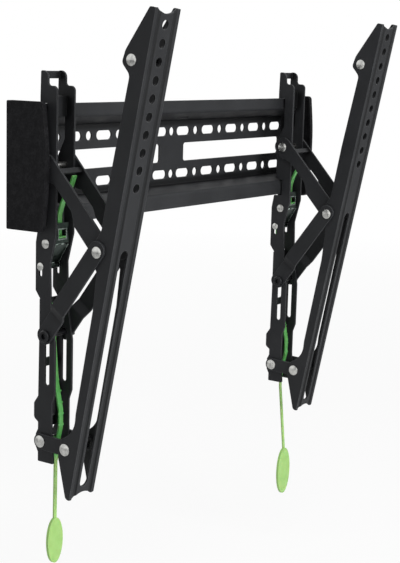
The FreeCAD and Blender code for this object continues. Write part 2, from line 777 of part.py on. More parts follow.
def side_parts(station):
    """All pieces of one bracket station, keyed by name without its side."""
    t_spot = rail_spot(*RAIL_T)
    left = station < 0
    if left:
        strap = pull_strap(TAIL_LEFT, HANG_LEFT, PADDLE_LEFT)
    else:
        strap = pull_strap(TAIL_RIGHT, HANG_RIGHT, PADDLE_RIGHT)
    parts = {
        "wall_bracket": wall_bracket(),
        "arm_pivot_pin": rivet(PIVOT_A, PIN_A, ARM_OUT + HEAD_GAP),
        "link_bracket_pin": rivet(PIVOT_B, PIN_B, ARM_OUT + HEAD_GAP),
        "latch_guide_rivet": rivet(GUIDE, PIN_GUIDE, BRACKET_OUT + HEAD_GAP),
        "return_spring": return_spring(),
        "upper_arm": upper_arm(),
        "knee_pin": rivet(PIVOT_K, PIN_K, STRUT_OUT + HEAD_GAP),
        "tv_rail": tv_rail(),
        "stop_pin": rivet(t_spot, PIN_T, RAIL_OUT + HEAD_GAP),
        "link_rail_pin": rivet(PIVOT_P, PIN_P, RAIL_OUT + HEAD_GAP),
        "lower_arm_near": lower_arm(-1),
        "lower_arm_far": lower_arm(1),
        "slider_bolt": slider_bolt().mirror(Vector(0, 0, 0), Vector(1, 0, 0)),
        "slider_nut": slider_nut().mirror(Vector(0, 0, 0), Vector(1, 0, 0)),
        "bottom_link": bottom_link(),
        "latch": latch(),
        "latch_slide_rivet": rivet(SLIDER, PIN_SLIDER, BRACKET_OUT + HEAD_GAP),
        "pull_strap": strap,
    }
    for shape in parts.values():
        shape.translate(Vector(station, 0, 0))
    return parts


def export(name, shape):
    shape.exportStep("parts/" + name + ".step")


os.makedirs("parts", exist_ok=True)
export("wall_plate", wall_plate())
export("end_cap_left", end_cap(-1, CAP_LEFT_IN))
export("end_cap_right", end_cap(1, CAP_RIGHT_IN))
for tag, station in (("left", STATION_LEFT), ("right", STATION_RIGHT)):
    for name, shape in side_parts(station).items():
        export(name + "_" + tag, shape)
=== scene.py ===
"""Looks of a folding TV wall mount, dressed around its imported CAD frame."""

import logging
import math
from dataclasses import dataclass
from enum import Enum

import bmesh
import bpy
from mathutils import Matrix, Quaternion, Vector


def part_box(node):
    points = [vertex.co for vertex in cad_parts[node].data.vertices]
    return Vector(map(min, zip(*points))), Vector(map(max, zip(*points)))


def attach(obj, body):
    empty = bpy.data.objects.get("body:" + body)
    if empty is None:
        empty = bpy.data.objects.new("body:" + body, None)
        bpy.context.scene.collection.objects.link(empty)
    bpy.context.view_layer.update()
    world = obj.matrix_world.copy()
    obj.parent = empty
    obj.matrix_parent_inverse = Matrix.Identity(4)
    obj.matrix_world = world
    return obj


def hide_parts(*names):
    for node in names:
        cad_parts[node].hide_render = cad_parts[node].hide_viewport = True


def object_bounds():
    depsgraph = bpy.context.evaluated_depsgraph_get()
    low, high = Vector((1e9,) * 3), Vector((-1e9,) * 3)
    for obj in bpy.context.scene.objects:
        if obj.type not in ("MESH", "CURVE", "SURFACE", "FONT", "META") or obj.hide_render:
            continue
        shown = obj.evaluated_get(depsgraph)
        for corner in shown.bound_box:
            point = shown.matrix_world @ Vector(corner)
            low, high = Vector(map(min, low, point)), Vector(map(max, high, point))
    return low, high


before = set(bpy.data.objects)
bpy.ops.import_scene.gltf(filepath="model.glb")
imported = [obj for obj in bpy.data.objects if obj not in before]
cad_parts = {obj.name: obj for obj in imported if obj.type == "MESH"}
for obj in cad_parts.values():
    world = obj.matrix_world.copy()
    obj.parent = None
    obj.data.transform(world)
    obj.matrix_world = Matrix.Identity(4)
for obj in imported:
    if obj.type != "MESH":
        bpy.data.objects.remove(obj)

CAD_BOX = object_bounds()
MM = 0.001
LOG = logging.getLogger("tv_wall_mount")

IMAGE_WIDE = 400
IMAGE_TALL = 563

# Most values of a noise pattern lie in this span.
NOISE_SPAN = (0.3, 0.7)

# Verts closer than this, in metres, are merged.
MERGE_DIST = 1e-6

# Rounded edges of small strips: their share of the strip's least size, and their steps.
EDGE_SHARE = 0.3
EDGE_STEPS = 3


class Side(Enum):
    """The two bracket stations on the wall plate."""

    LEFT = "left"
    RIGHT = "right"


def linear(hex_colour: str) -> tuple[float, float, float, float]:
    """Turn an sRGB hex colour to linear light.

    Args:
        hex_colour: Six hex digits after a hash sign.

    Returns:
        Linear red, green and blue, and an alpha of 1.
    """
    values = []
    for start in (1, 3, 5):
        value = int(hex_colour[start:start + 2], 16) / 255.0
        # The numbers are those of the sRGB standard's curve.
        values.append(value / 12.92 if value <= 0.04045 else ((value + 0.055) / 1.055) ** 2.4)
    return (values[0], values[1], values[2], 1.0)


def grey(value: float) -> tuple[float, float, float, float]:
    """A grey of that linear value."""
    return (value, value, value, 1.0)


def per_metre(size_mm: float) -> float:
    """Texture scale, in cells per metre, of a pattern with that cell size in millimetres."""
    return 1.0 / (size_mm * MM)


def add_node(tree: bpy.types.NodeTree, kind: str, settings: dict | None = None,
             values: dict | None = None, links: dict | None = None) -> bpy.types.Node:
    """Add one node with its settings, socket values and incoming links.

    Args:
        tree: The node tree to add to.
        kind: The node's type name.
        settings: Attributes to set on the node.
        values: Input socket to its constant value.
        links: Input socket to the output socket that feeds it.

    Returns:
        The new node.
    """
    node = tree.nodes.new(kind)
    for name, value in (settings or {}).items():
        setattr(node, name, value)
    for socket, value in (values or {}).items():
        node.inputs[socket].default_value = value
    for socket, source in (links or {}).items():
        tree.links.new(source, node.inputs[socket])
    return node


class Recipe:
    """A node material in the making, with its shader and its object coordinates at hand."""

    def __init__(self, name: str) -> None:
        """Start a material of that name."""
        self.material = bpy.data.materials.new(name)
        self.material.use_nodes = True
        self.tree = self.material.node_tree
        self.shader = self.tree.nodes["Principled BSDF"]
        self.place = add_node(self.tree, "ShaderNodeTexCoord").outputs["Object"]

    def noise(self, cell_mm: float, detail: float) -> bpy.types.NodeSocket:
        """A noise pattern with cells of that size."""
        node = add_node(self.tree, "ShaderNodeTexNoise",
                        values={"Scale": per_metre(cell_mm), "Detail": detail}, links={"Vector": self.place})
        return node.outputs["Fac"]

    def product(self, first: bpy.types.NodeSocket, second: bpy.types.NodeSocket) -> bpy.types.NodeSocket:
        """Two values multiplied."""
        node = add_node(self.tree, "ShaderNodeMath", settings={"operation": "MULTIPLY"},
                        links={0: first, 1: second})
        return node.outputs["Value"]

    def spread(self, value: bpy.types.NodeSocket, source: tuple[float, float],
               target: tuple[float, float]) -> bpy.types.NodeSocket:
        """Carry a value over from one span to another.

        Args:
            value: The value.
            source: The span that it lies in.
            target: The span that it is carried to.

        Returns:
            The new value, held at the target's ends.
        """
        node = add_node(self.tree, "ShaderNodeMapRange",
                        values={"From Min": source[0], "From Max": source[1],
                                "To Min": target[0], "To Max": target[1]},
                        links={"Value": value})
        return node.outputs["Result"]

    def tones(self, pattern: bpy.types.NodeSocket, stops: tuple[float, float],
              dark: str, light: str) -> bpy.types.NodeSocket:
        """Blend two colours along a pattern.

        Args:
            pattern: The pattern's value.
            stops: The values at which the colours are pure.
            dark: The first colour, in hex digits.
            light: The second colour, in hex digits.

        Returns:
            The blended colour.
        """
        ramp = add_node(self.tree, "ShaderNodeValToRGB", links={"Fac": pattern})
        for element, stop, colour in zip(ramp.color_ramp.elements, stops, (dark, light)):
            element.position = stop
            element.color = linear(colour)
        return ramp.outputs["Color"]

    def blend(self, share: bpy.types.NodeSocket, first: bpy.types.NodeSocket,
              second: bpy.types.NodeSocket | str) -> bpy.types.NodeSocket:
        """Turn one colour to another.

        Args:
            share: How much of the second colour shows.
            first: The first colour.
            second: The second colour, from a socket or in hex digits.

        Returns:
            The mixed colour.
        """
        links = {"Factor": share, "A": first}
        values = {}
        if isinstance(second, str):
            values["B"] = linear(second)
        else:
            links["B"] = second
        node = add_node(self.tree, "ShaderNodeMix", settings={"data_type": "RGBA"},
                        values=values, links=links)
        return node.outputs["Result"]

    def feed(self, socket: str, source: bpy.types.NodeSocket) -> None:
        """Link a value to one of the shader's inputs."""
        self.tree.links.new(source, self.shader.inputs[socket])

    def settle(self, values: dict[str, float]) -> None:
        """Set the shader's inputs that are the same all over."""
        for socket, value in values.items():
            self.shader.inputs[socket].default_value = value

    def bump(self, height: bpy.types.NodeSocket, strength: float, depth_mm: float,
             normal: bpy.types.NodeSocket | None = None) -> None:
        """Raise the surface along a pattern.

        Args:
            height: The pattern's value.
            strength: How much of the relief shows.
            depth_mm: How deep the relief is.
            normal: The surface's own normal, where it isn't the mesh's.
        """
        links = {"Height": height}
        if normal is not None:
            links["Normal"] = normal
        node = add_node(self.tree, "ShaderNodeBump",
                        values={"Strength": strength, "Distance": depth_mm * MM}, links=links)
        self.feed("Normal", node.outputs["Normal"])


@dataclass(frozen=True)
class PowderCoat:
    """Black polyester powder coat on folded steel: satin, with a faint orange peel, edges painted pale as
    rubbed wear and painted highlight, and painted shade in its grooves and inside corners.
    """

    name: str = "black_powder_coat"
    base: str = "#252628"
    light: str = "#2d2e30"
    tone_stops: tuple[float, float] = (0.35, 0.7)
    cloud_mm: float = 42.0
    # The next colour is partly rubbed wear and partly a painted highlight along the sheet edges.
    edge: str = "#77797c"
    edge_mm: float = 0.8
    edge_bend: tuple[float, float] = (0.995, 0.8)
    edge_samples: int = 6
    # The next colour is painted shade, laid near-black into grooves and inside corners.
    recess_painted_shade: str = "#0c0d0e"
    recess_mm: float = 8.0
    recess_open: tuple[float, float] = (0.86, 0.99)
    painted_shade_share: float = 0.92
    recess_samples: int = 16
    peel_mm: float = 1.4
    peel_strength: float = 0.12
    peel_depth_mm: float = 0.2
    roughness: tuple[float, float] = (0.46, 0.6)
    ior: float = 1.5
    specular: float = 0.2

    def build(self) -> bpy.types.Material:
        """Make the coat's node material."""
        recipe = Recipe(self.name)
        # The peel is drawn a little coarser than real so that it shows at the render's size.
        peel = recipe.noise(self.peel_mm, detail=3.0)
        cloud = recipe.noise(self.cloud_mm, detail=4.0)
        tone = recipe.tones(cloud, self.tone_stops, self.base, self.light)
        # Handling rubs the edges paler in patches, and the same pale edges are a painted highlight along each
        # sheet's outline, where the light would catch its rounded fold.
        rounded = add_node(recipe.tree, "ShaderNodeBevel", settings={"samples": self.edge_samples},
                           values={"Radius": self.edge_mm * MM}).outputs["Normal"]
        flat = add_node(recipe.tree, "ShaderNodeNewGeometry").outputs["Normal"]
        bend = add_node(recipe.tree, "ShaderNodeVectorMath", settings={"operation": "DOT_PRODUCT"},
                        links={0: rounded, 1: flat}).outputs["Value"]
        wear_highlight_mask = recipe.spread(bend, self.edge_bend, (0.0, 1.0))
        rubbed_and_highlit = recipe.blend(recipe.product(wear_highlight_mask, cloud), tone, self.edge)
        # Painted shade: the mesh's own occlusion darkens grooves and inside corners towards a near-black,
        # standing in for the shade that falls in them.
        openness = add_node(recipe.tree, "ShaderNodeAmbientOcclusion",
                            settings={"only_local": True, "samples": self.recess_samples},
                            values={"Distance": self.recess_mm * MM}).outputs["AO"]
        painted_shade_mask = recipe.spread(openness, self.recess_open, (self.painted_shade_share, 0.0))
        recipe.feed("Base Color", recipe.blend(painted_shade_mask, rubbed_and_highlit, self.recess_painted_shade))
        recipe.feed("Roughness", recipe.spread(cloud, NOISE_SPAN, self.roughness))
        recipe.bump(peel, self.peel_strength, self.peel_depth_mm, rounded)
        recipe.settle({"IOR": self.ior, "Specular IOR Level": self.specular})
        return recipe.material


@dataclass(frozen=True)
class MouldedAbs:
    """Black ABS from a spark-eroded mould: dead matt, with a coarse grain that breaks up its sheen."""

    name: str = "spark_grain_black_abs"
    dark: str = "#111113"
    light: str = "#212123"
    tone_stops: tuple[float, float] = (0.16, 0.38)
    grain_mm: float = 1.6
    grain_strength: float = 0.5
    grain_depth_mm: float = 0.4
    blotch_mm: float = 7.0
    roughness: float = 0.72
    ior: float = 1.53
    specular: float = 0.12

    def build(self) -> bpy.types.Material:
        """Make the plastic's node material."""
        recipe = Recipe(self.name)
        # The grain is drawn about twice as coarse as real so that it shows at the render's size.
        grain = recipe.noise(self.grain_mm, detail=5.0)
        blotch = recipe.noise(self.blotch_mm, detail=3.0)
        both = recipe.product(grain, blotch)
        recipe.feed("Base Color", recipe.tones(both, self.tone_stops, self.dark, self.light))
        recipe.bump(grain, self.grain_strength, self.grain_depth_mm)
        recipe.settle({"Roughness": self.roughness, "IOR": self.ior, "Specular IOR Level": self.specular})
        return recipe.material


@dataclass(frozen=True)
class PlatedSteel:
    """Zinc-plated steel: bright but slightly cloudy metal with fine working marks."""

    name: str
    dark: str
    light: str
    roughness: tuple[float, float]
    tone_stops: tuple[float, float] = (0.3, 0.68)
    cloud_mm: float = 3.5
    mark_mm: float = 0.5
    mark_strength: float = 0.08
    mark_depth_mm: float = 0.1

    def build(self) -> bpy.types.Material:
        """Make the plating's node material."""
        recipe = Recipe(self.name)
        # The clouds dull the plating in spots, so that a small head doesn't read as a mirror.
        cloud = recipe.noise(self.cloud_mm, detail=4.0)
        marks = recipe.noise(self.mark_mm, detail=2.0)
        recipe.feed("Base Color", recipe.tones(cloud, self.tone_stops, self.dark, self.light))
        recipe.feed("Roughness", recipe.spread(cloud, NOISE_SPAN, self.roughness))
        recipe.bump(marks, self.mark_strength, self.mark_depth_mm)
        recipe.settle({"Metallic": 1.0})
        return recipe.material


@dataclass(frozen=True)
class BlackOxide:
    """Oil-blacked steel of the slider screws: near black, with a soft metallic sheen."""

    name: str = "black_oxide_steel"
    dark: str = "#121214"
    light: str = "#26272a"
    cloud_mm: float = 2.5
    cloud_strength: float = 0.1
    cloud_depth_mm: float = 0.1
    metallic: float = 0.5
    roughness: float = 0.38

    def build(self) -> bpy.types.Material:
        """Make the oxide's node material."""
        recipe = Recipe(self.name)
        # The uneven oil film sets the screws off from the coat, though both are black.
        cloud = recipe.noise(self.cloud_mm, detail=4.0)
        recipe.feed("Base Color", recipe.tones(cloud, NOISE_SPAN, self.dark, self.light))
        recipe.bump(cloud, self.cloud_strength, self.cloud_depth_mm)
        recipe.settle({"Metallic": self.metallic, "Roughness": self.roughness})
        return recipe.material


@dataclass(frozen=True)
class MouldedNylon:
    """Green nylon of the pull straps: a deep green toothed strap, and a paler green on the grip that is
    painted light, standing in for light shining through it.
    """

    name: str = "green_moulded_nylon"
    strap_deep: str = "#66c865"
    strap_pale: str = "#80d878"
    # The grip's paler greens below are painted light, for light shining through the thin grip.
    painted_glow_grip_deep: str = "#98c76b"
    painted_glow_grip_pale: str = "#a5d078"
    grip_top_mm: float = -267.0
    fade_mm: float = 6.0
    flow_mm: float = 9.0
    grain_mm: float = 0.9
    grain_strength: float = 0.15
    grain_depth_mm: float = 0.1
    roughness: float = 0.42
    ior: float = 1.53
    glow_share: float = 0.12
    glow_mm: float = 2.0

    def build(self) -> bpy.types.Material:
        """Make the nylon's node material."""
        recipe = Recipe(self.name)
        flow = recipe.noise(self.flow_mm, detail=2.0)
        grain = recipe.noise(self.grain_mm, detail=3.0)
        # Flow marks from the mould drift along both greens; the change to the paler green below the grip's
        # top is painted light, for light shining through the grip.
        strap = recipe.tones(flow, NOISE_SPAN, self.strap_deep, self.strap_pale)
        painted_glow_grip = recipe.tones(flow, NOISE_SPAN, self.painted_glow_grip_deep, self.painted_glow_grip_pale)
        height = add_node(recipe.tree, "ShaderNodeSeparateXYZ", links={"Vector": recipe.place}).outputs["Z"]
        fade = (self.grip_top_mm * MM, (self.grip_top_mm - self.fade_mm) * MM)
        recipe.feed("Base Color", recipe.blend(recipe.spread(height, fade, (0.0, 1.0)), strap, painted_glow_grip))
        recipe.bump(grain, self.grain_strength, self.grain_depth_mm)
        recipe.settle({"Roughness": self.roughness, "IOR": self.ior,
                       "Subsurface Weight": self.glow_share, "Subsurface Scale": self.glow_mm * MM})
        return recipe.material


class Finishes:
    """Every finish of the mount, made once and handed out by name."""

    def __init__(self) -> None:
        """Build all the materials."""
        self.coat = PowderCoat().build()
        self.cap = MouldedAbs().build()
        self.rivet = PlatedSteel("bright_zinc_rivet", "#a9aaa8", "#d8d8d4", (0.22, 0.36)).build()
        self.latch = PlatedSteel("dull_zinc_latch", "#2f3834", "#4c5752", (0.28, 0.42)).build()
        # The rims' paler zinc is a painted highlight, a lit copy of the latch's own zinc.
        self.latch_rim_highlight = PlatedSteel("painted_highlight_zinc_rim", "#66726c", "#9aa59f", (0.18, 0.3)).build()
        self.spring = PlatedSteel("drawn_spring_wire", "#7d8083", "#a8abae", (0.25, 0.35)).build()
        self.bolt = BlackOxide().build()
        self.strap = MouldedNylon().build()


def dress(node: str, material: bpy.types.Material) -> None:
    """Give a CAD node its finish.

    Args:
        node: The CAD node's name.
        material: The finish it gets.
    """
    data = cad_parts[node].data
    data.materials.clear()
    data.materials.append(material)
    LOG.info("%s: %s", node, material.name)


def riding_piece(data: bpy.types.Mesh, body: str) -> bpy.types.Object:
    """Put a mesh in the scene as a piece that rides on a CAD body.

    Args:
        data: The mesh, which also names the piece.
        body: The CAD body that it rides on.

    Returns:
        The new object.
    """
    piece = bpy.data.objects.new(data.name, data)
    bpy.context.scene.collection.objects.link(piece)
    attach(piece, body)
    LOG.info("%s: %d faces on %s", data.name, len(data.polygons), body)
    return piece


def finished_piece(name: str, mesh: bmesh.types.BMesh, material: bpy.types.Material,
                   body: str) -> bpy.types.Object:
    """Turn a bmesh into a smooth piece that rides on a CAD body.

    Args:
        name: The piece's name.
        mesh: Its shape, in the frame's metres; freed here.
        material: Its finish.
        body: The CAD body that it rides on.

    Returns:
        The new object.
    """
    bmesh.ops.remove_doubles(mesh, verts=mesh.verts, dist=MERGE_DIST)
    bmesh.ops.recalc_face_normals(mesh, faces=mesh.faces)
    data = bpy.data.meshes.new(name)
    mesh.to_mesh(data)
    mesh.free()
    data.shade_smooth()
    data.materials.append(material)
    return riding_piece(data, body)


def grown_verts(grown: dict) -> list[bmesh.types.BMVert]:
    """The new verts of an extrusion."""
    return [part for part in grown["geom"] if isinstance(part, bmesh.types.BMVert)]


def soft_strip(mesh: bmesh.types.BMesh, size: Vector, place: Vector, lean: float = 0.0) -> None:
    """Add one strip with softened edges to a mesh.

    Args:
        mesh: The mesh to add to.
        size: Its width, thickness and length.
        place: Its middle.
        lean: Its turn about the X axis.
    """
    made = bmesh.ops.create_cube(mesh, size=1.0)
    bmesh.ops.scale(mesh, vec=size, verts=made["verts"])
    edges = list(dict.fromkeys(edge for vert in made["verts"] for edge in vert.link_edges))
    soft = bmesh.ops.bevel(mesh, geom=edges, offset=EDGE_SHARE * min(size), offset_type="OFFSET",
                           segments=EDGE_STEPS, profile=0.5, affect="EDGES", material=-1)
    shape = list(dict.fromkeys(vert for face in soft["faces"] for vert in face.verts))
    bmesh.ops.rotate(mesh, cent=(0, 0, 0), matrix=Matrix.Rotation(lean, 3, "X"), verts=shape)
    bmesh.ops.translate(mesh, vec=place, verts=shape)


def round_bar(mesh: bmesh.types.BMesh, radius: float, sides: int, turn: Matrix,
              start: Vector, run: Vector) -> None:
    """Add one straight round bar to a mesh.

    Args:
        mesh: The mesh to add to.
        radius: The bar's radius.
        sides: How many sides it has.
        turn: How its first end is turned from lying flat.
        start: The middle of its first end.
        run: The way from there to its other end.
    """
    verts = bmesh.ops.create_circle(mesh, cap_ends=True, radius=radius, segments=sides)["verts"]
    bmesh.ops.rotate(mesh, cent=(0, 0, 0), matrix=turn, verts=verts)
    bmesh.ops.translate(mesh, vec=start, verts=verts)
    grown = bmesh.ops.extrude_face_region(mesh, geom=[verts[0].link_faces[0]])
    bmesh.ops.translate(mesh, vec=run, verts=grown_verts(grown))


@dataclass
class WallBase:
    """The wall plate and its end caps."""

    finishes: Finishes

    def dress_nodes(self) -> None:
        """Give the plate and the caps their finishes."""
        dress("wall_plate", self.finishes.coat)
        for side in Side:
            dress(f"end_cap_{side.value}", self.finishes.cap)


@dataclass
class ReturnSpring:
    """The wound torsion spring that lifts a latch, coiled round its guide rivet."""

    side: Side
    finishes: Finishes
    wire_radius: float = 0.4 * MM
    wire_sides: int = 10
    steps_per_turn: int = 24
    pitch_in_radii: float = 2.2

    def wind(self, mesh: bmesh.types.BMesh, start: Vector, length: float, centre: Vector) -> None:
        """Wind the coil along the X axis.

        Args:
            mesh: The mesh to add to.
            start: Where the wire starts.
            length: How far the coil reaches along X.
            centre: A point on the coil's axis.
        """
        turns = int(length / (self.pitch_in_radii * self.wire_radius))
        steps = turns * self.steps_per_turn
        ring = bmesh.ops.create_circle(mesh, cap_ends=True, radius=self.wire_radius, segments=self.wire_sides)
        bmesh.ops.translate(mesh, vec=start, verts=ring["verts"])
        bmesh.ops.spin(mesh, geom=mesh.faces[:] + mesh.edges[:] + mesh.verts[:],
                       cent=(start.x, centre.y, centre.z), axis=(1, 0, 0),
                       dvec=(length / steps, 0, 0), angle=math.radians(360) * turns, steps=steps)

    def build(self) -> bpy.types.Object:
        """Wind the coil and draw out its leg and toe.

        Returns:
            The spring, standing for its plain CAD sleeve.
        """
        node = f"return_spring_{self.side.value}"
        low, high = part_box(node)
        rivet_low, rivet_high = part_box(f"latch_guide_rivet_{self.side.value}")
        centre = (rivet_low + rivet_high) / 2
        radius = high.z - centre.z - self.wire_radius
        start = Vector((low.x + self.wire_radius, centre.y + radius, centre.z))
        end = Vector((high.x - self.wire_radius, centre.y + radius, centre.z))
        foot = Vector((end.x, end.y - self.wire_radius, low.z + self.wire_radius))
        wound = bmesh.new()
        self.wind(wound, start, end.x - start.x, centre)
        round_bar(wound, self.wire_radius, self.wire_sides, Matrix.Identity(3),
                  end, Vector((0, 0, foot.z - end.z)))
        round_bar(wound, self.wire_radius, self.wire_sides, Matrix.Rotation(math.radians(90), 3, "X"),
                  foot, Vector((0, high.y - foot.y, 0)))
        piece = finished_piece(f"wound_spring_{self.side.value}", wound, self.finishes.spring,
                               f"carriage_{self.side.value}")
        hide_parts(node)
        return piece


@dataclass
class LatchRims:
    """The rims of a latch: round its strap eye, over its bends and down the sides of its slope, in a paler
    zinc that is a painted highlight on them.
    """

    side: Side
    finishes: Finishes
    bend_drop: float = 22.5 * MM
    slope: tuple[float, float] = (11.9 * MM, -19.3 * MM)
    eye_half: float = 5.0 * MM
    eye_drop: tuple[float, float] = (9.5 * MM, 17.5 * MM)
    rim_wide: float = 1.3 * MM
    rim_thick: float = 1.0 * MM
    roll_radius: float = 0.9 * MM
    roll_sides: int = 20
    roll_inset: float = 0.2 * MM
    upper_sunk: float = 0.4
    lower_proud: float = 0.3
    lower_share: float = 0.93

    def add_eye(self, mesh: bmesh.types.BMesh, top: Vector) -> None:
        """Add the four rims of the strap eye.

        Args:
            mesh: The mesh to add to.
            top: The middle of the latch's upper front edge.
        """
        eye_high, eye_low = (top.z - drop for drop in self.eye_drop)
        upright = Vector((self.rim_wide, self.rim_thick, eye_high - eye_low + 2 * self.rim_wide))
        level = Vector((2 * self.eye_half, self.rim_thick, self.rim_wide))
        for sign in (-1, 1):
            x = top.x + sign * (self.eye_half + self.rim_wide / 2)
            soft_strip(mesh, upright, Vector((x, top.y, (eye_low + eye_high) / 2)))
        for z in (eye_low - self.rim_wide / 2, eye_high + self.rim_wide / 2):
            soft_strip(mesh, level, Vector((top.x, top.y, z)))

    def add_slope(self, mesh: bmesh.types.BMesh, bend: Vector, half: float) -> None:
        """Add the side rims of the slope and the rolls of the bends above and below it.

        Args:
            mesh: The mesh to add to.
            bend: The middle of the upper bend.
            half: Half the latch's width.
        """
        run = Vector((0, self.slope[0], self.slope[1]))
        lean = math.atan2(self.slope[0], -self.slope[1])
        size = Vector((self.rim_wide, self.rim_thick, run.length))
        for sign in (-1, 1):
            aside = Vector((sign * (half - self.rim_wide / 2), 0, 0))
            soft_strip(mesh, size, bend + run / 2 + aside, lean)
        out = Vector((0, self.slope[1], -self.slope[0])).normalized()
        upper = bend + Vector((0, self.upper_sunk * self.roll_radius, 0))
        lower = bend + self.lower_share * run + self.lower_proud * self.roll_radius * out
        reach = Vector((half - self.roll_inset, 0, 0))
        for place in (upper, lower):
            round_bar(mesh, self.roll_radius, self.roll_sides, Matrix.Rotation(math.radians(90), 3, "Y"),
                      place - reach, 2 * reach)

    def build(self) -> bpy.types.Object:
        """Make the rims of one latch.

        Returns:
            The rims, as one piece on the latch's body.
        """
        low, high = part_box(f"latch_{self.side.value}")
        top = Vector(((low.x + high.x) / 2, low.y, high.z))
        mesh = bmesh.new()
        self.add_eye(mesh, top)
        self.add_slope(mesh, top - Vector((0, 0, self.bend_drop)), (high.x - low.x) / 2)
        return finished_piece(f"latch_rims_{self.side.value}", mesh, self.finishes.latch_rim_highlight,
                              f"latch_slider_{self.side.value}")


@dataclass
class CheekHip:
    """The broad lower edge of an upper arm's far cheek, between its pivot and its waist."""

    side: Side
    finishes: Finishes
    pivot_mm: tuple[float, float] = (-37.2, 0.8)
    knee_mm: tuple[float, float] = (-100.2, -68.7)
    outline_mm: tuple[tuple[float, float], ...] = (
        (6.0, -8.9), (15.0, -8.9), (17.8, -8.4), (20.0, -6.9),
        (28.6, -0.8), (31.0, 0.5), (16.0, 2.0), (6.0, -4.0),
    )
    layer_mm: tuple[float, float] = (13.05, 14.95)

    def build(self) -> bpy.types.Object:
        """Cut the hip's outline from sheet.

        Returns:
            The hip, on the arm's body.
        """
        low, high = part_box(f"upper_arm_{self.side.value}")
        middle = (low.x + high.x) / 2
        near, far = (middle + offset * MM for offset in self.layer_mm)
        pivot = Vector(self.pivot_mm)
        axis = (Vector(self.knee_mm) - pivot).normalized()
        across = Vector((axis.y, -axis.x))
        mesh = bmesh.new()
        rim = []
        for along, aside in self.outline_mm:
            spot = (pivot + along * axis + aside * across) * MM
            rim.append(mesh.verts.new((near, spot.x, spot.y)))
        grown = bmesh.ops.extrude_face_region(mesh, geom=[mesh.faces.new(rim)], use_keep_orig=True)
        bmesh.ops.translate(mesh, vec=(far - near, 0, 0), verts=grown_verts(grown))
        piece = finished_piece(f"cheek_hip_{self.side.value}", mesh, self.finishes.coat,
                               f"arm_{self.side.value}")
        piece.data.shade_flat()
        return piece


@dataclass
class StrapTeeth:
    """The lower teeth moulded across a pull strap, where it bows out of the bracket."""

    side: Side
    finishes: Finishes
    first_mm: float = -206.8
    pitch_mm: float = 10.4
    count: int = 4
    bow_mm: tuple[tuple[float, float], tuple[float, float]] = ((-35.9, -198.0), (-40.8, -224.0))
    strap_half: float = 2.75 * MM
    tooth: float = 0.9 * MM
    tooth_thick: float = 1.2 * MM
    tooth_depth: float = 0.4 * MM

    def run_y(self, z_mm: float) -> float:
        """How far forward the strap's front is at that height, in millimetres."""
        (start_y, start_z), (end_y, end_z) = self.bow_mm
        share = min(max((z_mm - start_z) / (end_z - start_z), 0.0), 1.0)
        return start_y + share * (end_y - start_y)

    def build(self) -> bpy.types.Object:
        """Make the teeth of one strap.

        Returns:
            The teeth, as one piece on the strap's body.
        """
        low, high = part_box(f"pull_strap_{self.side.value}")
        middle = (low.x + high.x) / 2
        size = Vector((2 * (self.strap_half + self.tooth), self.tooth_thick, 2 * self.tooth))
        mesh = bmesh.new()
        for index in range(self.count):
            z_mm = self.first_mm - index * self.pitch_mm
            soft_strip(mesh, size, Vector((middle, self.run_y(z_mm) * MM + self.tooth_depth, z_mm * MM)))
        return finished_piece(f"strap_teeth_{self.side.value}", mesh, self.finishes.strap,
                              f"latch_slider_{self.side.value}")


@dataclass(frozen=True)
class StrapDrift:
    """The stretch of height over which a strap's lower run moves to the side, in millimetres."""

    start_mm: float
    end_mm: float
    aside_mm: float = 5.0

    def at(self, z_mm: float) -> float:
        """How far to the side the strap is at that height."""
        share = (z_mm - self.start_mm) / (self.end_mm - self.start_mm)
        return self.aside_mm * min(max(share, 0.0), 1.0)


@dataclass
class HungStrap:
    """The left pull strap as it hangs: it comes out from behind the bracket's near side as a slow wedge."""

    side: Side = Side.LEFT
    modelled: StrapDrift = StrapDrift(-138.0, -160.0)
    hung: StrapDrift = StrapDrift(-164.0, -205.0)

    def build(self) -> bpy.types.Object:
        """Ease the drift of the dressed CAD strap's lower run.

        Returns:
            The strap, standing for its CAD solid.
        """
        node = f"pull_strap_{self.side.value}"
        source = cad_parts[node]
        data = source.data.copy()
        data.name = f"hung_strap_{self.side.value}"
        data.transform(source.matrix_world)
        for vert in data.vertices:
            z_mm = vert.co.z / MM
            vert.co.x += (self.hung.at(z_mm) - self.modelled.at(z_mm)) * MM
        data.update()
        piece = riding_piece(data, f"latch_slider_{self.side.value}")
        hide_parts(node)
        return piece


@dataclass
class BracketStation:
    """One hook-on bracket with its folding arms, rail, latch and strap."""

    side: Side
    finishes: Finishes

    def dress_nodes(self) -> None:
        """Give every CAD piece of the station its finish."""
        finishes = self.finishes
        coats = {
            "wall_bracket": finishes.coat,
            "upper_arm": finishes.coat,
            "lower_arm_near": finishes.coat,
            "lower_arm_far": finishes.coat,
            "bottom_link": finishes.coat,
            "tv_rail": finishes.coat,
            "arm_pivot_pin": finishes.rivet,
            "link_bracket_pin": finishes.rivet,
            "latch_guide_rivet": finishes.rivet,
            "knee_pin": finishes.rivet,
            "stop_pin": finishes.rivet,
            "link_rail_pin": finishes.rivet,
            "latch_slide_rivet": finishes.rivet,
            "slider_bolt": finishes.bolt,
            "slider_nut": finishes.bolt,
            "latch": finishes.latch,
            "return_spring": finishes.spring,
            "pull_strap": finishes.strap,
        }
        for node, material in coats.items():
            dress(f"{node}_{self.side.value}", material)

    def build(self) -> None:
        """Dress the CAD pieces and add what the scene alone has."""
        self.dress_nodes()
        for part in (ReturnSpring, LatchRims, CheekHip, StrapTeeth):
            part(self.side, self.finishes).build()
        if self.side is Side.LEFT:
            HungStrap().build()


